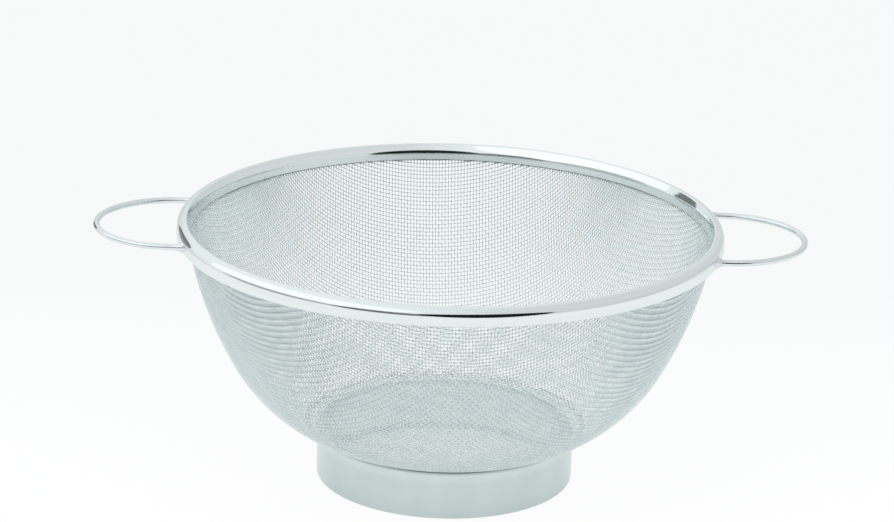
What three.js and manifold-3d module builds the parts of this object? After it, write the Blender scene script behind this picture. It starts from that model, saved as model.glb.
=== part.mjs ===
// A woven-wire colander: a bowl of stainless wire cloth clamped in a folded rim band, two wire
// loop handles welded to the band, and a rolled foot ring under the bowl.
// Millimetres, +Z up, standing on Z = 0, with the bowl's axis on Z and the handles along X.

import * as THREE from 'three';
import { mergeVertices } from 'three/addons/utils/BufferGeometryUtils.js';
import Module from 'manifold-3d';

const wasm = await Module();
wasm.setup();

// Overall
const RIM_DIAMETER = 240;
const RIM_TOP = 118.5;
const SEAT_GAP = 0.3; // between pieces that bear on each other

// Rim band: one strip folded over the edge of the cloth
const BAND_SHEET = 0.5;
const BAND_WALL_DEPTH = 8.1; // ridge to the turned-in bottom edge
const BAND_OUTER_CORNER = 3.9; // round from the ridge to the outer wall
const BAND_INNER_CORNER = 0.8;
const BAND_SLANT = THREE.MathUtils.degToRad(26); // inner slope, from the vertical
const BAND_SLANT_RUN = 1.7;
const BAND_SHOULDER = 7.5; // bend between the inner slope and the lip
const BAND_LEAN = THREE.MathUtils.degToRad(4); // inner lip, from the vertical
const BAND_LIP_RUN = 2.2;
const BAND_HEM = 1.0; // bend of the turned-in bottom edge
const CORE_WIRE = 2.0; // stiffening wire inside the fold

// Wire cloth bowl: flat floor, crease round the foot, round heel, flatter side, collar in the band
const CLOTH_THICKNESS = 0.8; // two wires thick, where they cross
const FLOOR_RADIUS = 60;
const CREASE_RADIUS = 4;
const CREASE_END = THREE.MathUtils.degToRad(26); // steepness where the heel begins
const HEEL_RADIUS = 78;
const HEEL_END = THREE.MathUtils.degToRad(61); // steepness where the side begins

// Openings in the bowl: a plain grid that stands for the fine weave
const OPENING_COLUMNS = 24; // round the side
const OPENING_ROWS = 4; // from the crease up to the band
const FLOOR_OPENINGS = 4; // across the floor
const GRID_BAR = 6; // cloth left between two openings
const CUT_REACH = 3; // past the cloth on its two sides

// Foot ring
const FOOT_DIAMETER = 114;
const FOOT_HEIGHT = 23;
const FOOT_SHEET = 0.6;
const FOOT_TOP_CORNER = 1.8;
const FOOT_TOP_FLANGE = 3;
const FOOT_BOTTOM_CORNER = 1.2;
const FOOT_BOTTOM_FLANGE = 3;

// Handles: a half-round loop with two straight legs, and a weld bead round each leg's end
const HANDLE_WIRE = 2.8;
const HANDLE_LOOP = 33.5; // centreline radius of the half-round
const HANDLE_LEG = 6; // straight length of a leg
const HANDLE_DROP = 5.4; // ridge down to the wire's centreline
const BEAD_RADIUS = 2.9;
const BEAD_TIP_WALL = 0.35; // bead round the wire at its outer end
const BEAD_LENGTH = 3.2;

// Facets
const ROUND_SEGMENTS = 48; // two for each column of openings
const ROUND_STEPS = 5;
const BEND_STEPS = 3;
const SLIGHT_BEND_STEPS = 2;
const SIDE_STEPS = 4;
const WIRE_SIDES = 8;
const HANDLE_STEPS = 26;

// Places that follow from the sizes
const rimRadius = RIM_DIAMETER / 2;
const ridgeRadius = rimRadius - BAND_OUTER_CORNER;
const bandBottom = RIM_TOP - BAND_WALL_DEPTH;
const footRadius = FOOT_DIAMETER / 2;
const seatRadius = footRadius - FOOT_TOP_CORNER - FOOT_TOP_FLANGE;
const floorZ = FOOT_HEIGHT + SEAT_GAP + CLOTH_THICKNESS / 2;

// A point moved by a distance along a direction given as an angle from +X.
function moved(point, angle, distance) {
  return new THREE.Vector2(
    point.x + distance * Math.cos(angle),
    point.y + distance * Math.sin(angle),
  );
}

// The band's inner side runs down from the ridge: corner, slope, shoulder, lip.
const slantOut = Math.PI - BAND_SLANT; // the way that the slope faces
const lipOut = Math.PI - BAND_LEAN; // the way that the lip faces
const innerCorner = new THREE.Vector2(ridgeRadius, RIM_TOP - BAND_INNER_CORNER);
const slopeTop = moved(innerCorner, slantOut, BAND_INNER_CORNER);
const slopeEnd = moved(slopeTop, slantOut + Math.PI / 2, BAND_SLANT_RUN);
const shoulder = moved(slopeEnd, slantOut, -BAND_SHOULDER);
const lipTop = moved(shoulder, lipOut, BAND_SHOULDER);
const lipEnd = moved(lipTop, lipOut + Math.PI / 2, BAND_LIP_RUN);

// The cloth's collar lies along the back of the lip.
const collarMiddle = moved(lipEnd, lipOut, -(BAND_SHEET + SEAT_GAP + CLOTH_THICKNESS / 2));
function collarAt(height) {
  const radius = collarMiddle.x + (height - collarMiddle.y) * Math.tan(BAND_LEAN);
  return new THREE.Vector2(radius, height);
}
const collarFoot = collarAt(Math.min(lipEnd.y, bandBottom) - SEAT_GAP);
const collarTop = collarAt(lipTop.y - SEAT_GAP);
const hemEdgeRadius = collarAt(bandBottom + BAND_SHEET).x
  + (CLOTH_THICKNESS / 2 + SEAT_GAP) / Math.cos(BAND_LEAN);

function steel(color, roughness) {
  return new THREE.MeshStandardMaterial({ color, roughness, metalness: 1 });
}

const clothSteel = steel(0xc4cccc, 0.3);
const bandSteel = steel(0xd8dede, 0.12);
const footSteel = steel(0xcbd3d4, 0.25);
const wireSteel = steel(0xd2d8d8, 0.15);
const weldSteel = steel(0xb9c0c0, 0.4);

function arc(center, radius, from, to, steps) {
  const points = [];
  for (let i = 0; i <= steps; i += 1) {
    const angle = from + (to - from) * (i / steps);
    points.push(new THREE.Vector2(
      center.x + radius * Math.cos(angle),
      center.y + radius * Math.sin(angle),
    ));
  }
  return points;
}

// Turns a closed outline of (radius, height) points round the Z axis.
function turned(outline) {
  const geometry = new THREE.LatheGeometry(outline, ROUND_SEGMENTS);
  return geometry.rotateX(Math.PI / 2);
}

// Closes the two faces of a bent sheet into one outline.
function sheetOutline(face, sheet) {
  const inside = face(sheet);
  const outside = face(0).reverse();
  return [...inside, ...outside, inside[0]];
}

// One face of the rim band, from the inner lip over the ridge to the turned-in bottom edge.
function bandFace(inset) {
  const outerCorner = new THREE.Vector2(ridgeRadius, RIM_TOP - BAND_OUTER_CORNER);
  const hem = new THREE.Vector2(rimRadius - BAND_HEM, bandBottom + BAND_HEM);
  const outerBend = arc(outerCorner, BAND_OUTER_CORNER - inset, Math.PI / 2, 0, ROUND_STEPS);
  return [
    moved(lipEnd, lipOut, -inset),
    ...arc(shoulder, BAND_SHOULDER - inset, lipOut, slantOut, SLIGHT_BEND_STEPS),
    ...arc(innerCorner, BAND_INNER_CORNER - inset, slantOut, Math.PI / 2, SLIGHT_BEND_STEPS),
    ...outerBend.slice(1),
    ...arc(hem, BAND_HEM - inset, 0, -Math.PI / 2, BEND_STEPS),
    new THREE.Vector2(hemEdgeRadius, bandBottom + inset),
  ];
}

// The cloth's middle surface runs up from the floor: crease, heel, side, collar.
const down = -Math.PI / 2;
const sideStart = down + HEEL_END;
const creaseCenter = new THREE.Vector2(FLOOR_RADIUS, floorZ + CREASE_RADIUS);
const heelCenter = moved(creaseCenter, down + CREASE_END, CREASE_RADIUS - HEEL_RADIUS);
const heelTip = moved(heelCenter, sideStart, HEEL_RADIUS);
// The side is the arc that leaves the heel along its tangent and ends at the collar.
const sideChord = collarFoot.clone().sub(heelTip);
const sideTurn = 2 * (sideChord.angle() - HEEL_END);
const sideRadius = sideChord.length() / (2 * Math.sin(sideTurn / 2));
const sideCenter = moved(heelTip, sideStart, -sideRadius);

// One face of the cloth, offset outwards from its middle surface.
function clothFace(outset) {
  const crease = arc(
    creaseCenter, CREASE_RADIUS + outset, down, down + CREASE_END, SLIGHT_BEND_STEPS,
  );
  const heel = arc(heelCenter, HEEL_RADIUS + outset, down + CREASE_END, sideStart, SIDE_STEPS);
  const side = arc(sideCenter, sideRadius + outset, sideStart, sideStart + sideTurn, SIDE_STEPS);
  return [
    new THREE.Vector2(0, floorZ - outset),
    ...crease,
    ...heel.slice(1),
    ...side.slice(1),
    moved(collarTop, -BAND_LEAN, outset),
  ];
}

// One face of the foot ring, from the top flange down the wall to the bottom flange.
function footFace(inset) {
  const topCorner = new THREE.Vector2(footRadius - FOOT_TOP_CORNER, FOOT_HEIGHT - FOOT_TOP_CORNER);
  const bottomCorner = new THREE.Vector2(footRadius - FOOT_BOTTOM_CORNER, FOOT_BOTTOM_CORNER);
  return [
    new THREE.Vector2(seatRadius, FOOT_HEIGHT - inset),
    ...arc(topCorner, FOOT_TOP_CORNER - inset, Math.PI / 2, 0, BEND_STEPS),
    ...arc(bottomCorner, FOOT_BOTTOM_CORNER - inset, 0, -Math.PI / 2, BEND_STEPS),
    new THREE.Vector2(bottomCorner.x - FOOT_BOTTOM_FLANGE, inset),
  ];
}

function rimBand() {
  return turned(sheetOutline(bandFace, BAND_SHEET));
}

function footRing() {
  return turned(sheetOutline(footFace, FOOT_SHEET));
}

function coreWire() {
  const radius = CORE_WIRE / 2;
  const center = new THREE.Vector2(
    rimRadius - BAND_SHEET - SEAT_GAP - radius,
    RIM_TOP - BAND_OUTER_CORNER - SEAT_GAP,
  );
  return turned(arc(center, radius, 0, 2 * Math.PI, WIRE_SIDES));
}

// Where a leg's flat end stands off the round of the band.
const legEnd = Math.sqrt((rimRadius + SEAT_GAP) ** 2 - (HANDLE_LOOP - HANDLE_WIRE / 2) ** 2);
const loopCenter = legEnd + HANDLE_LEG;
const handleZ = RIM_TOP - HANDLE_DROP;

function handleLoop() {
  const route = new THREE.CurvePath();
  const loop = new THREE.EllipseCurve(
    loopCenter, 0, HANDLE_LOOP, HANDLE_LOOP, -Math.PI / 2, Math.PI / 2,
  );
  const flat = [
    new THREE.LineCurve(
      new THREE.Vector2(legEnd, -HANDLE_LOOP), new THREE.Vector2(loopCenter, -HANDLE_LOOP),
    ),
    loop,
    new THREE.LineCurve(
      new THREE.Vector2(loopCenter, HANDLE_LOOP), new THREE.Vector2(legEnd, HANDLE_LOOP),
    ),
  ];
  flat.forEach((piece) => route.add(piece));
  const points = route.getSpacedPoints(HANDLE_STEPS);
  const path = new THREE.CurvePath();
  for (let i = 0; i < HANDLE_STEPS; i += 1) {
    const start = new THREE.Vector3(points[i].x, points[i].y, handleZ);
    const end = new THREE.Vector3(points[i + 1].x, points[i + 1].y, handleZ);
    path.add(new THREE.LineCurve3(start, end));
  }
  const section = new THREE.Shape(arc(new THREE.Vector2(), HANDLE_WIRE / 2, 0, 2 * Math.PI, WIRE_SIDES));
  return new THREE.ExtrudeGeometry(section, {
    steps: HANDLE_STEPS,
    bevelEnabled: false,
    extrudePath: path,
  });
}

function solid(geometry) {
  const bare = geometry.clone();
  bare.deleteAttribute('normal');
  bare.deleteAttribute('uv');
  const merged = mergeVertices(bare);
  return new wasm.Manifold(new wasm.Mesh({
    numProp: 3,
    vertProperties: new Float32Array(merged.attributes.position.array),
    triVerts: new Uint32Array(merged.index.array),
  }));
}

function geometryOf(manifold) {
  const mesh = manifold.getMesh();
  const geometry = new THREE.BufferGeometry();
  geometry.setAttribute('position', new THREE.BufferAttribute(mesh.vertProperties, 3));
  geometry.setIndex(new THREE.BufferAttribute(mesh.triVerts, 1));
  geometry.computeVertexNormals();
  return geometry;
}

// The outline of a ring that crosses the cloth, between two distances up its path.
function ringOutline(path, from, to) {
  const corner = (distance, reach) => {
    const share = distance / path.getLength();
    const outwards = path.getTangent(share).angle() - Math.PI / 2;
    return moved(path.getPoint(share), outwards, reach);
  };
  return [
    corner(from, CUT_REACH),
    corner(to, CUT_REACH),
    corner(to, -CUT_REACH),
    corner(from, -CUT_REACH),
    corner(from, CUT_REACH),
  ];
}

// An upright slab through the bowl's axis, moved aside and then turned.
function slab(aside, turn) {
  const box = new THREE.BoxGeometry(RIM_DIAMETER, GRID_BAR, 2 * RIM_TOP);
  box.translate(0, aside, 0);
  return solid(box.rotateZ(turn));
}

// Rows of openings from the crease to the band, parted by upright ribs.
function sideOpenings() {
  const path = new THREE.CurvePath();
  const addArc = (center, radius, from, to) => {
    path.add(new THREE.EllipseCurve(center.x, center.y, radius, radius, from, to, to < from));
  };
  addArc(creaseCenter, CREASE_RADIUS, down, down + CREASE_END);
  addArc(heelCenter, HEEL_RADIUS, down + CREASE_END, sideStart);
  addArc(sideCenter, sideRadius, sideStart, sideStart + sideTurn);
  const pitch = path.getLength() / OPENING_ROWS;
  const rows = [];
  for (let row = 0; row < OPENING_ROWS; row += 1) {
    const outline = ringOutline(path, row * pitch + GRID_BAR / 2, (row + 1) * pitch - GRID_BAR / 2);
    rows.push(solid(turned(outline)));
  }
  const ribs = [];
  for (let rib = 0; rib < OPENING_COLUMNS / 2; rib += 1) {
    ribs.push(slab(0, (rib + 0.5) * (2 * Math.PI / OPENING_COLUMNS)));
  }
  return wasm.Manifold.union(rows).subtract(wasm.Manifold.union(ribs));
}

// Square openings in the floor, inside the foot's top flange.
function floorOpenings() {
  const disc = new THREE.CylinderGeometry(seatRadius, seatRadius, 2 * CUT_REACH, ROUND_SEGMENTS);
  disc.rotateX(Math.PI / 2);
  disc.translate(0, 0, floorZ);
  const pitch = 2 * seatRadius / FLOOR_OPENINGS;
  const bars = [];
  for (let bar = 1; bar < FLOOR_OPENINGS; bar += 1) {
    const aside = bar * pitch - seatRadius;
    bars.push(slab(aside, 0), slab(aside, Math.PI / 2));
  }
  return solid(disc).subtract(wasm.Manifold.union(bars));
}

function clothBowl() {
  const half = CLOTH_THICKNESS / 2;
  const shell = solid(turned([...clothFace(half), ...clothFace(-half).reverse()]));
  return geometryOf(shell.subtract(sideOpenings()).subtract(floorOpenings()));
}

// A tapered bead round the end of a leg at +X, cut to the round of the band.
function weldBead(side) {
  const bore = HANDLE_WIRE / 2 + SEAT_GAP;
  const root = legEnd - 2 * BEAD_RADIUS;
  const tip = legEnd + BEAD_LENGTH;
  const outline = [
    new THREE.Vector2(bore, root),
    new THREE.Vector2(BEAD_RADIUS, root),
    new THREE.Vector2(BEAD_RADIUS, legEnd),
    new THREE.Vector2((BEAD_RADIUS + bore + BEAD_TIP_WALL) / 2, legEnd + BEAD_LENGTH / 2),
    new THREE.Vector2(bore + BEAD_TIP_WALL, tip),
    new THREE.Vector2(bore, tip),
    new THREE.Vector2(bore, root),
  ];
  const collar = new THREE.LatheGeometry(outline, WIRE_SIDES);
  collar.rotateZ(-Math.PI / 2);
  collar.translate(0, side * HANDLE_LOOP, handleZ);
  const band = new THREE.CylinderGeometry(
    rimRadius + SEAT_GAP, rimRadius + SEAT_GAP, 2 * RIM_TOP, ROUND_SEGMENTS,
  );
  band.rotateX(Math.PI / 2);
  band.translate(0, 0, RIM_TOP);
  return geometryOf(solid(collar).subtract(solid(band)));
}

function named(name, geometry, material) {
  const mesh = new THREE.Mesh(geometry, material);
  mesh.name = name;
  return mesh;
}

// A handle with its two weld beads, turned to its side of the bowl.
function handle(side, turn) {
  const group = new THREE.Group();
  group.add(named(`handle_${side}`, handleLoop(), wireSteel));
  const front = turn === 0 ? -1 : 1;
  group.add(named(`weld_${side}_front`, weldBead(front), weldSteel));
  group.add(named(`weld_${side}_back`, weldBead(-front), weldSteel));
  group.rotation.z = turn;
  return group;
}

const colander = new THREE.Group();
colander.add(named('wire_cloth_bowl', clothBowl(), clothSteel));
colander.add(named('rim_band', rimBand(), bandSteel));
colander.add(named('rim_core_wire', coreWire(), wireSteel));
colander.add(named('foot_ring', footRing(), footSteel));
colander.add(handle('right', 0));
colander.add(handle('left', Math.PI));

export default colander;
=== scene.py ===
"""Looks of the wire mesh colander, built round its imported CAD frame.

Lengths are in millimetres until a mesh, lamp or camera is made, which takes metres.
"""

import math

import bpy
import numpy as np
from mathutils import Matrix, Vector


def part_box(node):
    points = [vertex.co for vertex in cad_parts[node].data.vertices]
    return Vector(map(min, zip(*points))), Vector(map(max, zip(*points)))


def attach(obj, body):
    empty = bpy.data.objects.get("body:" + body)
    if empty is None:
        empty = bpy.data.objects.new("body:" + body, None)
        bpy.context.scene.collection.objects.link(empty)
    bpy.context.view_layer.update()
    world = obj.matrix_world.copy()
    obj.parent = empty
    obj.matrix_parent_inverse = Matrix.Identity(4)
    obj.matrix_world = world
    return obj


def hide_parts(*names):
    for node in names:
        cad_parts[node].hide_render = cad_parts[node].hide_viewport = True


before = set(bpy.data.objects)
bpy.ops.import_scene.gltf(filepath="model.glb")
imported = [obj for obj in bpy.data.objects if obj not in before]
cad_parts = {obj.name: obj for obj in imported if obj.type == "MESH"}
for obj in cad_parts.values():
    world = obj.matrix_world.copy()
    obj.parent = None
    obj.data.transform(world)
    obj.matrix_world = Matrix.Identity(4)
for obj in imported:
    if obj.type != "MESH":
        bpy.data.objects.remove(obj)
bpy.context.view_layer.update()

MM = 0.001


def node_box(node):
    """Lowest and highest corner of a CAD node, in millimetres."""
    low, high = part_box(node)
    return np.array(low) / MM, np.array(high) / MM


# Places that the frame gives
band_low, band_high = node_box("rim_band")
_, foot_high = node_box("foot_ring")
cloth_low, _ = node_box("wire_cloth_bowl")
loop_low, loop_high = node_box("handle_right")
_, bead_high = node_box("weld_right_front")
core_low, core_high = node_box("rim_core_wire")
rim_radius, rim_top, band_bottom = band_high[0], band_high[2], band_low[2]
foot_radius, foot_height = foot_high[0], foot_high[2]

# Rim band
BAND_SHEET = 0.5
OUTER_CORNER = 3.9
INNER_CORNER = 0.8
SLANT = math.radians(26)
SLANT_RUN = 1.7
SHOULDER = 7.5
LEAN = math.radians(4)
LIP_RUN = 2.2
HEM = 1.0
SEAT_GAP = 0.3

# Foot ring
FOOT_SHEET = 0.6
TOP_CORNER = 1.8
TOP_FLANGE = 3.0
BOTTOM_CORNER = 1.2
BOTTOM_FLANGE = 3.0

# Wire cloth
CLOTH_THICKNESS = 0.8
FLOOR_RADIUS = 60.0
CREASE_RADIUS = 4.0
CREASE_END = math.radians(26)
HEEL_RADIUS = 78.0
HEEL_END = math.radians(61)
WARP_PITCH = 1.48
WEFT_PITCH = 1.78
CLOTH_WIRE = 0.40
CLOTH_TURN = math.radians(4.6)

# Weld fillets: lobes round the leg and how far each wavers, as shares of the flare
WELD_WAVER = ((2, 0.06), (3, 0.04))
WELD_PHASES = 6.0
WELD_INSET = 0.05  # the fillet's thin end lies this deep in the leg
WELD_SEED = 7

# Fineness of the meshes
ROUND_STEPS = 288
BEND_STEPS = 10
SHARP_ANGLE = math.radians(40)
CLOTH_SIDES = 6
CLOTH_PIECES = 4
HANDLE_SIDES = 24
LEG_STEPS = 8
LOOP_STEPS = 96
WELD_SIDES = 32
WELD_STEPS = 12
SAME_POINT = 1e-6

# Search for the crossings of the wires
SPARE_WIRES = 8
WIRES_PAST_TOP = 3
FIRST_STEP = 0.2  # share of a pitch
NEWTON_STEPS = 12
NUDGE = 1e-4
LONGEST_STEP = 1.0
WIDEST_TURN = 0.02
FLAT_SHARE = 0.25  # of a pitch, on each side of a crossing

# Map of the tubes: each wire is a row, with its two end caps beside it
CAP_ROOM = 0.01
CAP_RADIUS = 0.4
ROW_MARGIN = 0.05


def moved(point, angle, distance):
    """A (radius, height) point moved along a direction given as an angle."""
    return np.asarray(point) + distance * np.array([math.cos(angle), math.sin(angle)])


ridge_radius = rim_radius - OUTER_CORNER
slant_out, lip_out = math.pi - SLANT, math.pi - LEAN
inner_corner = np.array([ridge_radius, rim_top - INNER_CORNER])
slope_end = moved(moved(inner_corner, slant_out, INNER_CORNER), slant_out + math.pi / 2, SLANT_RUN)
shoulder = moved(slope_end, slant_out, -SHOULDER)
lip_top = moved(shoulder, lip_out, SHOULDER)
lip_end = moved(lip_top, lip_out + math.pi / 2, LIP_RUN)
collar_middle = moved(lip_end, lip_out, -(BAND_SHEET + SEAT_GAP + CLOTH_THICKNESS / 2))


def collar_at(height):
    """The middle of the cloth's collar, which lies along the back of the lip."""
    return np.array([collar_middle[0] + (height - collar_middle[1]) * math.tan(LEAN), height])


collar_foot = collar_at(min(lip_end[1], band_bottom) - SEAT_GAP)
collar_top = collar_at(lip_top[1] - SEAT_GAP)
hem_edge = collar_at(band_bottom + BAND_SHEET)[0] + (CLOTH_THICKNESS / 2 + SEAT_GAP) / math.cos(LEAN)
floor_z = cloth_low[2] + CLOTH_THICKNESS / 2
wire_radius = (loop_high[2] - loop_low[2]) / 2
handle_z = (loop_high[2] + loop_low[2]) / 2
loop_radius = loop_high[1] - wire_radius
loop_center = loop_high[0] - wire_radius - loop_radius


def arc(center, radius, start, end, steps):
    """Points on an arc in the (radius, height) plane."""
    angle = np.linspace(start, end, steps + 1)
    return np.stack([center[0] + radius * np.cos(angle), center[1] + radius * np.sin(angle)], -1)


def line(start, end, steps):
    """Evenly spaced points on a straight line."""
    t = np.linspace(0, 1, steps + 1)[:, None]
    return np.asarray(start) * (1 - t) + np.asarray(end) * t


def joined(*runs):
    """Runs of points as one run, without the points that repeat."""
    points = np.concatenate([np.atleast_2d(run) for run in runs])
    apart = np.linalg.norm(np.diff(points, axis=0), axis=1) > SAME_POINT
    return points[np.concatenate([[True], apart])]


def add_mesh(name, points, polygons, uv):
    """A mesh object from points in millimetres, polygons of point numbers and a UV for each corner."""
    mesh = bpy.data.meshes.new(name)
    sizes = np.concatenate([np.full(len(p), p.shape[1]) for p in polygons])
    corners = np.concatenate([p.ravel() for p in polygons])
    mesh.vertices.add(len(points))
    mesh.vertices.foreach_set("co", (points * MM).astype(np.float32).ravel())
    mesh.loops.add(len(corners))
    mesh.loops.foreach_set("vertex_index", corners.astype(np.int32))
    mesh.polygons.add(len(sizes))
    mesh.polygons.foreach_set("loop_start", (np.cumsum(sizes) - sizes).astype(np.int32))
    layer = mesh.uv_layers.new(name="OFBake")
    layer.data.foreach_set("uv", np.concatenate(uv).astype(np.float32).ravel())
    mesh.update(calc_edges=True)
    mesh.validate()
    mesh.shade_smooth()
    obj = bpy.data.objects.new(name, mesh)
    bpy.context.collection.objects.link(obj)
    return obj


def place(obj, slot, material, *nodes):
    """Gives a piece its material, and lets it stand for CAD nodes."""
    obj.data.materials.append(material)
    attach(obj, "root")
    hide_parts(*nodes)
    return obj


def turned(name, outline):
    """Turns a closed outline of (radius, height) points round the Z axis."""
    across = len(outline)
    around = ROUND_STEPS
    theta = np.linspace(0, 2 * math.pi, around, endpoint=False)
    radius, height = outline[:, 0], outline[:, 1]
    points = np.stack(
        [
            np.cos(theta)[:, None] * radius,
            np.sin(theta)[:, None] * radius,
            np.ones(around)[:, None] * height,
        ],
        -1,
    )
    i, j = np.meshgrid(np.arange(around), np.arange(across), indexing="ij")
    i, j = i.ravel(), j.ravel()
    after, beside = (i + 1) % around, (j + 1) % across
    quads = np.stack([i * across + j, after * across + j, after * across + beside, i * across + beside], -1)
    step = np.linalg.norm(outline - np.roll(outline, -1, axis=0), axis=1)
    along = np.concatenate([[0], np.cumsum(step)]) / step.sum()
    left, right = i / around, (i + 1) / around
    low, high = along[j], along[j + 1]
    uv = np.stack([left, low, right, low, right, high, left, high], -1).reshape(-1, 2)
    obj = add_mesh(name, points.reshape(-1, 3), [quads], [uv])
    obj.data.set_sharp_from_angle(angle=SHARP_ANGLE)
    return obj


def sheet_outline(face, sheet):
    """The closed outline of a bent sheet from its two faces."""
    return joined(face(sheet), face(0)[::-1])


def band_face(inset):
    """One face of the rim band, from the inner lip over the ridge to the turned-in edge."""
    half_pi = math.pi / 2
    return joined(
        line(moved(lip_end, lip_out, -inset), moved(lip_top, lip_out, -inset), BEND_STEPS),
        arc(shoulder, SHOULDER - inset, lip_out, slant_out, BEND_STEPS),
        arc(inner_corner, INNER_CORNER - inset, slant_out, half_pi, BEND_STEPS),
        arc((ridge_radius, rim_top - OUTER_CORNER), OUTER_CORNER - inset, half_pi, 0, 2 * BEND_STEPS),
        arc((rim_radius - HEM, band_bottom + HEM), HEM - inset, 0, -half_pi, BEND_STEPS),
        (hem_edge, band_bottom + inset),
    )


def foot_face(inset):
    """One face of the foot ring, from the top flange down the wall to the bottom flange."""
    top_corner = (foot_radius - TOP_CORNER, foot_height - TOP_CORNER)
    bottom_corner = (foot_radius - BOTTOM_CORNER, BOTTOM_CORNER)
    top = arc(top_corner, TOP_CORNER - inset, math.pi / 2, 0, BEND_STEPS)
    bottom = arc(bottom_corner, BOTTOM_CORNER - inset, 0, -math.pi / 2, BEND_STEPS)
    flange_start = (top_corner[0] - TOP_FLANGE, foot_height - inset)
    flange_end = (bottom_corner[0] - BOTTOM_FLANGE, inset)
    return joined(flange_start, top, line(top[-1], bottom[0], BEND_STEPS), bottom, flange_end)


def core_outline():
    """The outline of the wire inside the rim's fold."""
    radius = (core_high[2] - core_low[2]) / 2
    center = (core_high[0] - radius, (core_high[2] + core_low[2]) / 2)
    return arc(center, radius, 0, 2 * math.pi, 2 * BEND_STEPS)[:-1]


# Middle surface of the cloth, by the distance s along its section from the axis
DOWN = -math.pi / 2
crease_center = np.array([FLOOR_RADIUS, floor_z + CREASE_RADIUS])
heel_center = moved(crease_center, DOWN + CREASE_END, CREASE_RADIUS - HEEL_RADIUS)
heel_tip = moved(heel_center, DOWN + HEEL_END, HEEL_RADIUS)
side_chord = collar_foot - heel_tip
side_turn = 2 * (math.atan2(side_chord[1], side_chord[0]) - HEEL_END)
side_radius = np.hypot(*side_chord) / (2 * math.sin(side_turn / 2))
side_center = moved(heel_tip, DOWN + HEEL_END, -side_radius)
s_crease = FLOOR_RADIUS
s_heel = s_crease + CREASE_RADIUS * CREASE_END
s_side = s_heel + HEEL_RADIUS * (HEEL_END - CREASE_END)
s_collar = s_side + side_radius * side_turn
s_top = s_collar + np.hypot(*(collar_top - collar_foot))


def section(s):
    """Radius, height and steepness of the cloth's section at s."""
    crease = (s - s_crease) / CREASE_RADIUS
    heel = CREASE_END + (s - s_heel) / HEEL_RADIUS
    side = HEEL_END + (s - s_side) / side_radius
    collar = s - s_collar
    spots = [s < s_crease, s < s_heel, s < s_side, s < s_collar]
    radius = np.select(
        spots,
        [
            s,
            crease_center[0] + CREASE_RADIUS * np.sin(crease),
            heel_center[0] + HEEL_RADIUS * np.sin(heel),
            side_center[0] + side_radius * np.sin(side),
        ],
        collar_foot[0] + collar * math.sin(LEAN),
    )
    height = np.select(
        spots,
        [
            np.full_like(s, floor_z),
            crease_center[1] - CREASE_RADIUS * np.cos(crease),
            heel_center[1] - HEEL_RADIUS * np.cos(heel),
            side_center[1] - side_radius * np.cos(side),
        ],
        collar_foot[1] + collar * math.cos(LEAN),
    )
    steep = np.select(spots, [np.zeros_like(s), crease, heel, side], math.pi / 2 - LEAN)
    return radius, height, steep


def on_cloth(s, theta):
    """Points of the cloth's middle surface."""
    radius, height, _ = section(s)
    return np.stack([radius * np.cos(theta), radius * np.sin(theta), height], -1)


def cloth_normal(s, theta):
    """Unit normals of the cloth towards its inside."""
    steep = section(s)[2]
    return np.stack([-np.sin(steep) * np.cos(theta), -np.sin(steep) * np.sin(theta), np.cos(steep)], -1)


def woven_quarter():
    """Crossings of the wires over a quarter of the bowl, as (s, theta) by wire number.

    The cloth is drawn from a flat weave, so each wire keeps its spacing along the other ones.
    The two wires through the middle follow the section, and every other crossing is the point at
    one pitch from its two neighbours.
    """
    count = int(s_top / min(WARP_PITCH, WEFT_PITCH)) + SPARE_WIRES
    past_top = s_top + WIRES_PAST_TOP * WEFT_PITCH
    s = np.full((count, count), np.nan)
    theta = np.full((count, count), np.nan)
    s[:, 0], theta[:, 0] = np.arange(count) * WARP_PITCH, 0
    s[0, :], theta[0, :] = np.arange(count) * WEFT_PITCH, math.pi / 2
    for diagonal in range(2, 2 * count - 1):
        i = np.arange(max(1, diagonal - count + 1), min(count - 1, diagonal - 1) + 1)
        j = diagonal - i
        inside = (s[i - 1, j] < past_top) & (s[i, j - 1] < past_top)
        i, j = i[inside], j[inside]
        if len(i) == 0:
            continue
        before = on_cloth(s[i - 1, j], theta[i - 1, j])
        below = on_cloth(s[i, j - 1], theta[i, j - 1])
        guess = before + below - on_cloth(s[i - 1, j - 1], theta[i - 1, j - 1])
        here = np.maximum(s[i - 1, j], s[i, j - 1]) + FIRST_STEP * WARP_PITCH
        turn = np.arctan2(guess[:, 1], guess[:, 0])
        for _ in range(NEWTON_STEPS):
            here, turn = closer(here, turn, before, below)
        s[i, j], theta[i, j] = here, turn
    return s, theta


def closer(s, theta, before, below):
    """One Newton step towards the point at one pitch from both neighbours."""
    point = on_cloth(s, theta)
    by_s = (on_cloth(s + NUDGE, theta) - point) / NUDGE
    by_theta = (on_cloth(s, theta + NUDGE) - point) / NUDGE
    miss_before = ((point - before) ** 2).sum(-1) - WARP_PITCH**2
    miss_below = ((point - below) ** 2).sum(-1) - WEFT_PITCH**2
    a = 2 * ((point - before) * by_s).sum(-1)
    b = 2 * ((point - before) * by_theta).sum(-1)
    c = 2 * ((point - below) * by_s).sum(-1)
    d = 2 * ((point - below) * by_theta).sum(-1)
    across = a * d - b * c
    step_s = (b * miss_below - d * miss_before) / across
    step_theta = (c * miss_before - a * miss_below) / across
    next_s = s + np.clip(step_s, -LONGEST_STEP, LONGEST_STEP)
    next_theta = theta + np.clip(step_theta, -WIDEST_TURN, WIDEST_TURN)
    return next_s, next_theta


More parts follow.
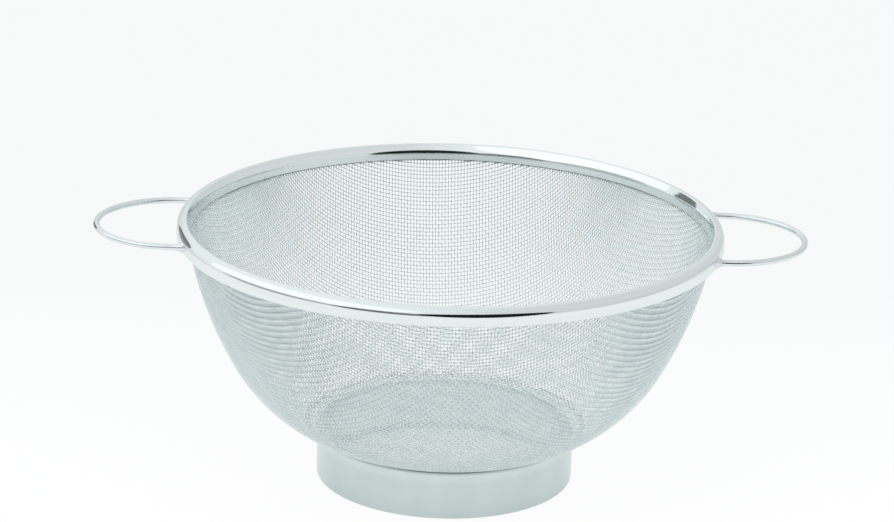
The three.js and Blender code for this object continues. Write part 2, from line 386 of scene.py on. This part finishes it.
def half_wire(s, theta):
    """The part of a wire's crossings that is inside the bowl, cut off at the cloth's top edge."""
    past = np.nonzero(~(s < s_top))[0]
    if len(past) == 0 or past[0] == 0 or np.isnan(s[past[0]]):
        return None
    last = past[0]
    share = (s_top - s[last - 1]) / (s[last] - s[last - 1])
    cut_theta = theta[last - 1] + share * (theta[last] - theta[last - 1])
    return np.append(s[:last], s_top), np.append(theta[:last], cut_theta)


def wire_route(s, theta, mirrored, number):
    """Centreline and surface normals of one whole wire, from its half in the first quarter."""
    back_theta = mirrored(theta)
    full_s = np.concatenate([s[:0:-1], s])
    full_theta = np.concatenate([back_theta[:0:-1], theta])
    point, normal = on_cloth(full_s, full_theta), cloth_normal(full_s, full_theta)
    crossing = np.arange(len(full_s)) - (len(s) - 1)
    lift = np.where((crossing + number) % 2 == 0, 1, -1) * CLOTH_WIRE / 2
    lift[0] = lift[-1] = 0
    bent = point + lift[:, None] * normal
    # Each wire runs flat over a crossing and steps down to the next one.
    middle = bent[1:-1]
    coming = middle + FLAT_SHARE * (point[:-2] - point[1:-1])
    going = middle + FLAT_SHARE * (point[2:] - point[1:-1])
    inner = np.stack([coming, going], 1).reshape(-1, 3)
    route = np.concatenate([bent[:1], inner, bent[-1:]])
    normals = np.concatenate([normal[:1], np.repeat(normal[1:-1], 2, axis=0), normal[-1:]])
    return route, normals


def tube(route, normals, radius, sides):
    """Rings of points round a route, and the length run at each ring."""
    tangent = np.gradient(route, axis=0)
    tangent /= np.linalg.norm(tangent, axis=1, keepdims=True)
    up = normals - (normals * tangent).sum(1, keepdims=True) * tangent
    up /= np.linalg.norm(up, axis=1, keepdims=True)
    aside = np.cross(tangent, up)
    angle = np.linspace(0, 2 * math.pi, sides, endpoint=False)
    rings = route[:, None] + radius * (
        np.cos(angle)[None, :, None] * up[:, None] + np.sin(angle)[None, :, None] * aside[:, None]
    )
    run = np.concatenate([[0], np.cumsum(np.linalg.norm(np.diff(route, axis=0), axis=1))])
    return rings, run


def tube_faces(rings, run, length, row, rows):
    """Quads and end caps of a tube, with a map that lays it out as one row of many."""
    count, sides = rings.shape[:2]
    i, j = np.meshgrid(np.arange(count - 1), np.arange(sides), indexing="ij")
    i, j = i.ravel(), j.ravel()
    beside = (j + 1) % sides
    here, ahead = i * sides, (i + 1) * sides
    quads = np.stack([here + beside, ahead + beside, ahead + j, here + j], -1)
    ring = np.arange(sides)
    caps = np.stack([ring, (count - 1) * sides + ring[::-1]])
    left = CAP_ROOM + (1 - 2 * CAP_ROOM) * run[i] / length
    right = CAP_ROOM + (1 - 2 * CAP_ROOM) * run[i + 1] / length
    row_width = 1 - 2 * ROW_MARGIN
    low = (row + ROW_MARGIN + row_width * j / sides) / rows
    high = (row + ROW_MARGIN + row_width * (j + 1) / sides) / rows
    uv = np.stack([left, high, right, high, right, low, left, low], -1).reshape(-1, 2)
    turn = np.linspace(0, 2 * math.pi, sides, endpoint=False)
    cap_disc = CAP_RADIUS * np.stack([np.cos(turn), np.sin(turn)], -1)
    at_start = np.array([CAP_ROOM / 2, (row + 0.5) / rows])
    at_end = np.array([1 - CAP_ROOM / 2, (row + 0.5) / rows])
    cap_size = np.array([CAP_ROOM, 1 / rows])
    cap_uv = np.concatenate([at_start + cap_disc * cap_size, at_end + cap_disc * cap_size])
    return quads, caps, uv, cap_uv


def tubes_mesh(name, tubes):
    """One mesh of many closed tubes, each given by its rings and run lengths."""
    points, quads, caps, quad_uv, cap_uv = [], [], [], [], []
    first = 0
    length = max(run[-1] for _, run in tubes)
    for row, (rings, run) in enumerate(tubes):
        sides_faces, end_faces, sides_uv, end_uv = tube_faces(rings, run, length, row, len(tubes))
        points.append(rings.reshape(-1, 3))
        quads.append(sides_faces + first)
        caps.append(end_faces + first)
        quad_uv.append(sides_uv)
        cap_uv.append(end_uv)
        first += rings.shape[0] * rings.shape[1]
    return add_mesh(
        name,
        np.concatenate(points),
        [np.concatenate(quads), np.concatenate(caps)],
        [np.concatenate(quad_uv), np.concatenate(cap_uv)],
    )


def woven_wires():
    """All wires of the cloth, as two lists of routes: those along X and those along Y."""
    s, theta = woven_quarter()
    along_x, along_y = [], []
    for number in range(s.shape[0]):
        half = half_wire(s[:, number], theta[:, number])
        if half is not None:
            route, normals = wire_route(*half, lambda t: math.pi - t, number)
            along_x.append((number, route, normals))
        half = half_wire(s[number, :], theta[number, :])
        if half is not None:
            route, normals = wire_route(*half, lambda t: -t, number + 1)
            along_y.append((number, route, normals))
    across_x, across_y = np.array([1, -1, 1]), np.array([-1, 1, 1])
    return both_sides(along_x, across_x), both_sides(along_y, across_y)


def both_sides(wires, flip):
    """The wires of one direction in order, with the mirror images of all but the middle one."""
    mirrored = [(-number, route * flip, normals * flip) for number, route, normals in wires if number]
    return sorted(mirrored + wires, key=lambda wire: wire[0])


def weave_piece(name, wires):
    """One piece of the cloth, turned to the way that the cloth lies in the rim."""
    turn = np.array(Matrix.Rotation(CLOTH_TURN, 3, "Z"))
    tubes = [
        tube(route @ turn.T, normals @ turn.T, CLOTH_WIRE / 2, CLOTH_SIDES)
        for _, route, normals in wires
    ]
    return tubes_mesh(name, tubes)


def split_evenly(wires, parts):
    """Neighbouring wires in groups of about the same length of wire."""
    ends = np.cumsum([len(route) for _, route, _ in wires])
    group = np.minimum((ends - 1) * parts // ends[-1], parts - 1)
    return [[wire for wire, g in zip(wires, group) if g == part] for part in range(parts)]


def on_band(points, radius):
    """Moves points along X onto the band's round wall at a radius."""
    placed = points.copy()
    placed[..., 0] = np.sqrt(radius**2 - points[..., 1] ** 2)
    return placed


def handle_mesh(name, turn):
    """A bent wire loop whose legs end in the band's wall."""
    wall = rim_radius - BAND_SHEET / 2
    half_turn = arc((loop_center, 0), loop_radius, -math.pi / 2, math.pi / 2, LOOP_STEPS)
    leg = line((wall, -loop_radius), (loop_center, -loop_radius), LEG_STEPS)
    flat = joined(leg, half_turn, leg[::-1] * np.array([1, -1]))
    route = np.column_stack([flat, np.full(len(flat), handle_z)])
    route[[0, -1]] = on_band(route[[0, -1]], wall)
    upward = np.tile([0.0, 0.0, 1.0], (len(route), 1))
    rings, run = tube(route, upward, wire_radius, HANDLE_SIDES)
    for end in (0, -1):
        rings[end] = on_band(rings[end], wall)
    rotation = np.array(Matrix.Rotation(turn, 3, "Z"))
    return tubes_mesh(name, [(rings @ rotation.T, run)])


def weld_mesh(name, turn, side, rng):
    """A weld fillet that flares from a handle's leg onto the band."""
    bead = bead_high[2] - handle_z
    length = bead_high[0] - math.sqrt(rim_radius**2 - loop_radius**2)
    wall = rim_radius - BAND_SHEET / 2
    angle = np.linspace(0, 2 * math.pi, WELD_SIDES, endpoint=False)
    t = np.linspace(0, 1, WELD_STEPS + 1)
    waver = np.ones(WELD_SIDES)
    for lobes, size in WELD_WAVER:
        waver += size * np.sin(lobes * angle + rng.uniform(0, WELD_PHASES))
    flare = (1 - t) ** 2
    radius = (wire_radius - WELD_INSET) + (bead - wire_radius) * flare[:, None] * waver[None, :]
    rings = np.stack(
        [
            np.zeros_like(radius),
            side * loop_radius + radius * np.cos(angle),
            handle_z + radius * np.sin(angle),
        ],
        -1,
    )
    rings = on_band(rings, wall)
    rings[..., 0] += (t * length)[:, None]
    rotation = np.array(Matrix.Rotation(turn, 3, "Z"))
    return tubes_mesh(name, [(rings @ rotation.T, t * length)])


# Sockets of a Mix node for colours, whose names aren't unique
MIX_FIRST, MIX_SECOND, MIX_RESULT = 6, 7, 2

# Streaks in the steel
STREAK_DETAIL = 4.0
STREAK_ROUGHNESS = 0.6
STREAK_LOW, STREAK_HIGH = 0.3, 0.7

# Inner lip of the rim band
LIP_DULL = 0.25
LIP_FADE = 0.5

# Painted shade on the steel's colour, as pairs of millimetres and factor:
# a band with its ridge and outer wall painted darker than its lip, painted shade for their darker
# reflections,
BAND_PAINTED_SHADE = [(0.0, 1.0), (113.9, 1.0), (114.9, 0.92), (120.0, 0.91)]
# a foot with painted shade darker towards the table, for the shadowed table that it reflects, a painted
# shadow line in the gap under the bowl, and an outer wall painted darker than its inside,
FOOT_PAINTED_LOW_SHADE = [(0.0, 0.88), (8.0, 0.92), (16.0, 0.93), (18.5, 1.0)]
FOOT_PAINTED_GAP_SHADOW = [(20.2, 1.0), (21.8, 0.35), (22.5, 0.35), (22.8, 1.0)]
FOOT_PAINTED_SHADE_BY_HEIGHT = FOOT_PAINTED_LOW_SHADE + FOOT_PAINTED_GAP_SHADOW
FOOT_PAINTED_SHADE_BY_RADIUS = [(0.0, 1.0), (56.5, 1.0), (56.9, 0.87), (57.0, 0.87)]
# and cloth with painted shade darker towards the rim, where less of the bright table shows in it, a painted
# shadow under the lip, and painted shade in the crease round its floor
CLOTH_PAINTED_SHADE_BY_HEIGHT = [(0.0, 1.0), (40.0, 1.0), (80.0, 0.92), (109.6, 0.90), (110.6, 0.55)]
CLOTH_PAINTED_SHADE_BY_RADIUS = [(0.0, 1.0), (59.5, 1.0), (60.5, 0.6), (61.8, 0.6), (63.0, 1.0), (120.0, 1.0)]
SHADE_TINT = 0.88  # below 1, darker places are a little greener


def new_material(name):
    """A material with a bare Principled shader, and its node tree."""
    material = bpy.data.materials.new(name)
    material.use_nodes = True
    tree = material.node_tree
    shader = tree.nodes["Principled BSDF"]
    return material, tree, shader


def node(tree, kind, inputs=(), **settings):
    """Adds a node; inputs map a socket to a value or to another node's output."""
    made = tree.nodes.new(kind)
    for key, value in settings.items():
        setattr(made, key, value)
    for key, value in dict(inputs).items():
        if isinstance(value, bpy.types.NodeSocket):
            tree.links.new(value, made.inputs[key])
        else:
            made.inputs[key].default_value = value
    return made


def math_of(tree, operation, first, second):
    """The result of an operation on two values."""
    return node(tree, "ShaderNodeMath", {0: first, 1: second}, operation=operation).outputs[0]


def vector_of(tree, operation, *inputs):
    """The vector that an operation on vectors gives."""
    return node(tree, "ShaderNodeVectorMath", dict(enumerate(inputs)), operation=operation).outputs[0]


def length_of(tree, vector):
    """The length of a vector."""
    return node(tree, "ShaderNodeVectorMath", {0: vector}, operation="LENGTH").outputs["Value"]


def ranged(tree, value, from_min, from_max, to_min, to_max, curve="SMOOTHSTEP"):
    """A value moved from one range to another, smoothly unless asked otherwise."""
    inputs = {"Value": value, "From Min": from_min, "From Max": from_max, "To Min": to_min, "To Max": to_max}
    return node(tree, "ShaderNodeMapRange", inputs, interpolation_type=curve).outputs["Result"]


def mixed_value(tree, share, first, second):
    """A value between two, by a share."""
    return node(tree, "ShaderNodeMix", {"Factor": share, "A": first, "B": second}).outputs["Result"]


def mixed_color(tree, share, first, second, blend="MIX"):
    """A colour mixed of two, by a share."""
    inputs = {"Factor": share, MIX_FIRST: first, MIX_SECOND: second}
    mix = node(tree, "ShaderNodeMix", inputs, data_type="RGBA", blend_type=blend)
    return mix.outputs[MIX_RESULT]


def object_coords(tree):
    """Plain coordinates in the row frame."""
    return node(tree, "ShaderNodeTexCoord").outputs["Object"]


def flat_coords(tree):
    """Coordinates in the row frame, all at the table's height."""
    return vector_of(tree, "MULTIPLY", object_coords(tree), (1, 1, 0))


def height_of(tree):
    """Height above the table."""
    return node(tree, "ShaderNodeSeparateXYZ", {0: object_coords(tree)}).outputs["Z"]


def radius_of(tree):
    """Distance from the Z axis."""
    return length_of(tree, flat_coords(tree))


def polar_coords(tree, around, across):
    """Coordinates that change slowly round the Z axis and fast along the section."""
    round_way = vector_of(tree, "NORMALIZE", flat_coords(tree))
    slow = vector_of(tree, "MULTIPLY", round_way, (around, around, around))
    along = math_of(tree, "SUBTRACT", height_of(tree), radius_of(tree))
    fast = math_of(tree, "MULTIPLY", along, across)
    upright = node(tree, "ShaderNodeCombineXYZ", {"Z": fast}).outputs[0]
    return vector_of(tree, "ADD", slow, upright)


def lengthwise_coords(tree, along, around):
    """Coordinates that change slowly along a wire and fast round it."""
    place_at = node(tree, "ShaderNodeUVMap", uv_map="OFBake").outputs[0]
    return vector_of(tree, "MULTIPLY", place_at, (along, around, 1))


def shade_along(tree, length, stops):
    """A painted shade factor that follows a length, given as pairs of millimetres and factor, from 0 up."""
    end = stops[-1][0]
    ramp = node(tree, "ShaderNodeValToRGB", {"Fac": math_of(tree, "DIVIDE", length, end * MM)})
    elements = ramp.color_ramp.elements
    for level, _ in stops[1:-1]:
        elements.new(level / end)
    for element, (_, factor) in zip(elements, stops):
        element.color = (factor, factor**SHADE_TINT, factor**SHADE_TINT, 1)
    return ramp.outputs["Color"]


def lip_dullness(tree):
    """Roughness that the inner lip has on top of the ridge's, because it is less polished."""
    inside = ranged(tree, radius_of(tree), ridge_radius * MM, rim_radius * MM, 1.0, 0.0)
    lip = ranged(tree, height_of(tree), lip_top[1] * MM, (lip_top[1] + LIP_FADE) * MM, LIP_DULL, 0.0)
    return math_of(tree, "MULTIPLY", inside, lip)


def streak_noise(tree, coords, scale):
    """The noise that the steel's streaks follow."""
    inputs = {"Vector": coords(tree), "Scale": scale, "Detail": STREAK_DETAIL, "Roughness": STREAK_ROUGHNESS}
    return node(tree, "ShaderNodeTexNoise", inputs).outputs["Fac"]


def steel(name, coords, dark, light, rough, scale=1.0, bump=None, shades=(), dull=None):
    """Bare steel with faint streaks in its colour, its gloss and, where given, its surface, and painted
    shade multiplied into its colour where shades are given.
    """
    material, tree, shader = new_material(name)
    streaks = streak_noise(tree, coords, scale)
    ramp = node(tree, "ShaderNodeValToRGB", {"Fac": streaks})
    ends = zip(ramp.color_ramp.elements, (STREAK_LOW, STREAK_HIGH), (dark, light))
    for element, position, color in ends:
        element.position = position
        element.color = (*color, 1)
    color = ramp.outputs["Color"]
    # painted shade multiplied into the colour
    for length, stops in shades:
        color = mixed_color(tree, 1.0, color, shade_along(tree, length(tree), stops), "MULTIPLY")
    tree.links.new(color, shader.inputs["Base Color"])
    shader.inputs["Metallic"].default_value = 1.0
    if isinstance(rough, tuple):
        gloss = ranged(tree, streaks, STREAK_LOW, STREAK_HIGH, *rough, curve="LINEAR")
        if dull:
            gloss = math_of(tree, "ADD", gloss, dull(tree))
        tree.links.new(gloss, shader.inputs["Roughness"])
    else:
        shader.inputs["Roughness"].default_value = rough
    if bump:
        inputs = {"Height": streaks, "Strength": bump[0], "Distance": bump[1]}
        tree.links.new(node(tree, "ShaderNodeBump", inputs).outputs["Normal"], shader.inputs["Normal"])
    return material


band_steel = steel(
    "band_steel",
    coords=lambda tree: polar_coords(tree, around=1.5, across=700.0),
    dark=(0.835, 0.895, 0.895),
    light=(0.905, 0.955, 0.955),
    rough=(0.07, 0.11),
    # painted shade: ridge and outer wall darker than the lip
    shades=[(radius_of, BAND_PAINTED_SHADE)],
    dull=lip_dullness,
)
foot_steel = steel(
    "foot_steel",
    coords=lambda tree: polar_coords(tree, around=4.0, across=20.0),
    dark=(0.705, 0.795, 0.79),
    light=(0.755, 0.845, 0.84),
    rough=(0.16, 0.20),
    # painted shade: darker low down, a painted shadow in the gap under the bowl, outer wall darker
    shades=[(height_of, FOOT_PAINTED_SHADE_BY_HEIGHT), (radius_of, FOOT_PAINTED_SHADE_BY_RADIUS)],
)
loop_steel = steel(
    "loop_steel",
    coords=lambda tree: lengthwise_coords(tree, along=6.0, around=14.0),
    dark=(0.70, 0.75, 0.77),
    light=(0.80, 0.84, 0.85),
    rough=(0.08, 0.13),
)
cloth_steel = steel(
    "cloth_steel",
    coords=object_coords,
    scale=160.0,
    dark=(0.78, 0.86, 0.875),
    light=(0.88, 0.945, 0.955),
    rough=0.24,
    # painted shade: darker towards the rim, a painted shadow under the lip and in the crease
    shades=[(height_of, CLOTH_PAINTED_SHADE_BY_HEIGHT), (radius_of, CLOTH_PAINTED_SHADE_BY_RADIUS)],
)
weld_steel = steel(
    "weld_steel",
    coords=object_coords,
    scale=900.0,
    dark=(0.66, 0.71, 0.72),
    light=(0.78, 0.82, 0.83),
    rough=(0.14, 0.24),
    bump=(0.15, 0.0002),
)

place(turned("rim_fold", sheet_outline(band_face, BAND_SHEET)), "polished_band", band_steel, "rim_band")
place(turned("foot_wall", sheet_outline(foot_face, FOOT_SHEET)), "satin_foot", foot_steel, "foot_ring")
place(turned("core_ring", core_outline()), "bright_wire", loop_steel, "rim_core_wire")

rng = np.random.default_rng(WELD_SEED)
for hand, turn in (("right", 0.0), ("left", math.pi)):
    place(handle_mesh(f"loop_{hand}", turn), "bright_wire", loop_steel, f"handle_{hand}")
    for end, way in (("front", -1), ("back", 1)):
        side = way if hand == "right" else -way
        bead = weld_mesh(f"fillet_{hand}_{end}", turn, side, rng)
        place(bead, "weld_metal", weld_steel, f"weld_{hand}_{end}")

for family, wires in zip(("weft", "warp"), woven_wires()):
    for number, group in enumerate(split_evenly(wires, CLOTH_PIECES), 1):
        piece = weave_piece(f"cloth_{family}_{number}", group)
        place(piece, "wire_cloth", cloth_steel, "wire_cloth_bowl")

# Studio: the table in the picture, in metres
FLOOR_SIZE = 40.0
PAPER = (0.9, 0.91, 0.91)
PAPER_NEAR = (1.0, 1.0, 1.0)
PAPER_FAR = (0.93, 0.945, 0.945)
FADE_FROM, FADE_TO = -0.1, 0.4  # towards the back
DISTANT_FROM, DISTANT_TO = 1.5, 5.0  # all round

# How strongly the table shows its shadows: in the picture, in metal, and inside the foot
SHADOW_SHOWN, SHADOW_MIRRORED, SHADOW_INSIDE = 0.06, 0.25, 0.45
SHADOW_EDGE = 0.005

# The table in metal, with its darker back and what lies past its edge
BEHIND_FROM, BEHIND_TO = 0.1, 0.4
BEHIND = 0.75
TABLE_EDGE, TABLE_END = 0.9, 1.6
PAST_TABLE = 0.75

# The room in metal, from left to right, overhead and at the horizon
ROOM_TINT = (0.98, 1.0, 1.0)
ROOM_FROM, ROOM_TO = -0.3, 0.45
ROOM_LEFT, ROOM_RIGHT = 1.0, 0.78
HORIZON_FROM, HORIZON_TO = -0.8, -0.2
HORIZON_LEFT, HORIZON_RIGHT = 0.95, 0.72
HORIZON_RISE = 0.5

LAMP_AIM = (0, 0, 0.1)
CARD_POINTS = 64


def ray_kinds(tree):
    """1 for rays that show a thing itself, and 1 for rays that show it in metal, otherwise 0."""
    path = node(tree, "ShaderNodeLightPath")
    direct = math_of(tree, "MAXIMUM", path.outputs["Is Camera Ray"], path.outputs["Is Transmission Ray"])
    return direct, path.outputs["Is Glossy Ray"]


def plane(name, points, location, toward):
    """A flat piece of the studio, facing a point."""
    mesh = bpy.data.meshes.new(name)
    mesh.from_pydata([(x, y, 0) for x, y in points], [], [range(len(points))])
    obj = bpy.data.objects.new(name, mesh)
    obj.location = location
    obj.rotation_euler = (Vector(toward) - Vector(location)).to_track_quat("Z", "Y").to_euler()
    bpy.context.collection.objects.link(obj)
    return obj


def studio_floor():
    """A pale table that keeps a faint shadow; metal also shows the greyer room round it."""
    half = FLOOR_SIZE / 2
    corners = [(-half, -half), (half, -half), (half, half), (-half, half)]
    floor = plane("floor", corners, (0, 0, 0), (0, 0, 1))
    material, tree, shader = new_material("floor_paper")
    tree.nodes.remove(shader)
    direct, mirrored = ray_kinds(tree)
    place_at = node(tree, "ShaderNodeNewGeometry").outputs["Position"]
    back = node(tree, "ShaderNodeSeparateXYZ", {0: place_at}).outputs["Y"]
    away = length_of(tree, place_at)
    backward = ranged(tree, back, FADE_FROM, FADE_TO, 0.0, 1.0)
    distant = ranged(tree, away, DISTANT_FROM, DISTANT_TO, 0.0, 1.0)
    faded = math_of(tree, "MAXIMUM", backward, distant)
    behind = math_of(tree, "MULTIPLY", mirrored, ranged(tree, back, BEHIND_FROM, BEHIND_TO, 0.0, 1.0))
    past_table = math_of(tree, "MULTIPLY", mirrored, ranged(tree, away, TABLE_EDGE, TABLE_END, 0.0, 1.0))
    tint = mixed_color(tree, faded, (*PAPER_NEAR, 1), (*PAPER_FAR, 1))
    tint = mixed_color(tree, behind, tint, (BEHIND, BEHIND, BEHIND, 1))
    tint = mixed_color(tree, past_table, tint, (PAST_TABLE, PAST_TABLE, PAST_TABLE, 1))
    white = node(tree, "ShaderNodeEmission", {"Color": tint, "Strength": 1.0}).outputs[0]
    paper = node(tree, "ShaderNodeBsdfDiffuse", {"Color": (*PAPER, 1)}).outputs[0]
    foot_wall = foot_radius * MM
    unshaded = ranged(tree, away, foot_wall - SHADOW_EDGE, foot_wall, 1 - SHADOW_INSIDE, 1 - SHADOW_SHOWN)
    in_picture = math_of(tree, "MULTIPLY", direct, unshaded)
    in_metal = math_of(tree, "MULTIPLY", mirrored, 1 - SHADOW_MIRRORED)
    share = math_of(tree, "ADD", in_picture, in_metal)
    mixed = node(tree, "ShaderNodeMixShader", {0: share, 1: paper, 2: white}).outputs[0]
    tree.links.new(mixed, tree.nodes["Material Output"].inputs["Surface"])
    floor.data.materials.append(material)


def studio_world():
    """A plain pale world that metal shows as a room, brighter on the left and darker near the horizon."""
    world = bpy.data.worlds.new("studio")
    bpy.context.scene.world = world
    world.use_nodes = True
    tree = world.node_tree
    direct, _ = ray_kinds(tree)
    way = node(tree, "ShaderNodeSeparateXYZ", {0: node(tree, "ShaderNodeTexCoord").outputs["Generated"]})
    above = ranged(tree, way.outputs["X"], ROOM_FROM, ROOM_TO, ROOM_LEFT, ROOM_RIGHT)
    level = ranged(tree, way.outputs["X"], HORIZON_FROM, HORIZON_TO, HORIZON_LEFT, HORIZON_RIGHT)
    upward = ranged(tree, way.outputs["Z"], 0.0, HORIZON_RISE, 0.0, 1.0)
    tone = mixed_value(tree, upward, level, above)
    room = node(tree, "ShaderNodeBackground", {"Color": (*ROOM_TINT, 1), "Strength": tone}).outputs[0]
    paper = node(tree, "ShaderNodeBackground", {"Color": (*PAPER_FAR, 1), "Strength": 1.0}).outputs[0]
    shown = node(tree, "ShaderNodeMixShader", {0: direct, 1: room, 2: paper}).outputs[0]
    tree.links.new(shown, tree.nodes["World Output"].inputs["Surface"])


def softbox(name, size, location, watts, mirrored):
    """A soft lamp that the camera doesn't show, and the metal only where asked for."""
    lamp = bpy.data.lights.new(name, "AREA")
    lamp.shape = "RECTANGLE"
    lamp.size, lamp.size_y = size
    lamp.energy = watts
    obj = bpy.data.objects.new(name, lamp)
    obj.location = location
    obj.rotation_euler = (Vector(LAMP_AIM) - Vector(location)).to_track_quat("-Z", "Y").to_euler()
    obj.visible_camera = False
    obj.visible_glossy = mirrored
    bpy.context.collection.objects.link(obj)


def dark_card(name, grey, azimuth, elevation, distance):
    """An oval card that only shows in the metal, given by the angles that it covers round the rim."""
    middle = math.radians(sum(azimuth) / 2)
    half_width = distance * math.tan(math.radians((azimuth[1] - azimuth[0]) / 2))
    low, high = (distance * math.tan(math.radians(e)) for e in elevation)
    location = Vector((math.sin(middle), -math.cos(middle), 0)) * distance
    location.z = rim_top * MM + (low + high) / 2
    turn = np.linspace(0, 2 * math.pi, CARD_POINTS, endpoint=False)
    oval = np.stack([half_width * np.cos(turn), (high - low) / 2 * np.sin(turn)], -1)
    card = plane(name, oval.tolist(), location, (0, 0, location.z))
    material, tree, shader = new_material(name)
    shader.inputs["Base Color"].default_value = (grey, grey, grey, 1)
    shader.inputs["Roughness"].default_value = 1.0
    shader.inputs["Specular IOR Level"].default_value = 0.0
    card.data.materials.append(material)
    card.visible_camera = False
    card.visible_diffuse = False
    card.visible_shadow = False
    card.visible_transmission = False


studio_floor()
studio_world()
softbox("softbox_top", size=(3.0, 2.4), location=(0.0, 0.3, 2.0), watts=14.0, mirrored=False)
softbox("softbox_left", size=(4.0, 1.9), location=(-1.6, -0.6, 1.25), watts=4.8, mirrored=True)
dark_card("card_front", grey=0.01, azimuth=(-12.0, 40.0), elevation=(-9.0, 26.0), distance=0.72)
dark_card("card_front_left", grey=0.18, azimuth=(-46.0, -4.0), elevation=(-9.0, 14.0), distance=0.95)
dark_card("card_left", grey=0.5, azimuth=(-100.0, -38.0), elevation=(-6.0, 12.0), distance=0.95)
dark_card("card_back_left", grey=0.23, azimuth=(-144.5, -124.0), elevation=(-9.0, 15.0), distance=0.655)

# Camera, fitted to the photo
CAMERA_DISTANCE = 1.6
CAMERA_ELEVATION = math.radians(17.93)
CAMERA_ROLL = math.radians(1.65)
CAMERA_LENS = 146.8
SENSOR_WIDTH = 36.0
CLIP_NEAR, CLIP_FAR = 0.05, 100.0
RIM_MIDDLE = Vector((0, 0, 0.114))
RIM_ABOVE_MIDDLE = 0.0140
RIM_BESIDE_MIDDLE = 0.0012


def photo_camera():
    """A camera at the photo's viewing angle, tilted as the photo is."""
    ahead = Vector((0, math.cos(CAMERA_ELEVATION), -math.sin(CAMERA_ELEVATION)))
    upward = Vector((0, math.sin(CAMERA_ELEVATION), math.cos(CAMERA_ELEVATION)))
    rightward = Vector((1, 0, 0))
    eye = RIM_MIDDLE - CAMERA_DISTANCE * ahead
    aim = RIM_MIDDLE - RIM_ABOVE_MIDDLE * upward - RIM_BESIDE_MIDDLE * rightward
    back = (eye - aim).normalized()
    right = upward.cross(back).normalized()
    up = back.cross(right)
    cos, sin = math.cos(CAMERA_ROLL), math.sin(CAMERA_ROLL)
    right, up = cos * right + sin * up, cos * up - sin * right
    camera = bpy.data.cameras.new("camera")
    camera.lens = CAMERA_LENS
    camera.sensor_width = SENSOR_WIDTH
    camera.clip_start, camera.clip_end = CLIP_NEAR, CLIP_FAR
    obj = bpy.data.objects.new("camera", camera)
    obj.matrix_world = Matrix(
        (
            (right.x, up.x, back.x, eye.x),
            (right.y, up.y, back.y, eye.y),
            (right.z, up.z, back.z, eye.z),
            (0, 0, 0, 1),
        )
    )
    bpy.context.collection.objects.link(obj)
    bpy.context.scene.camera = obj


photo_camera()
bpy.context.scene.view_settings.view_transform = "Standard"
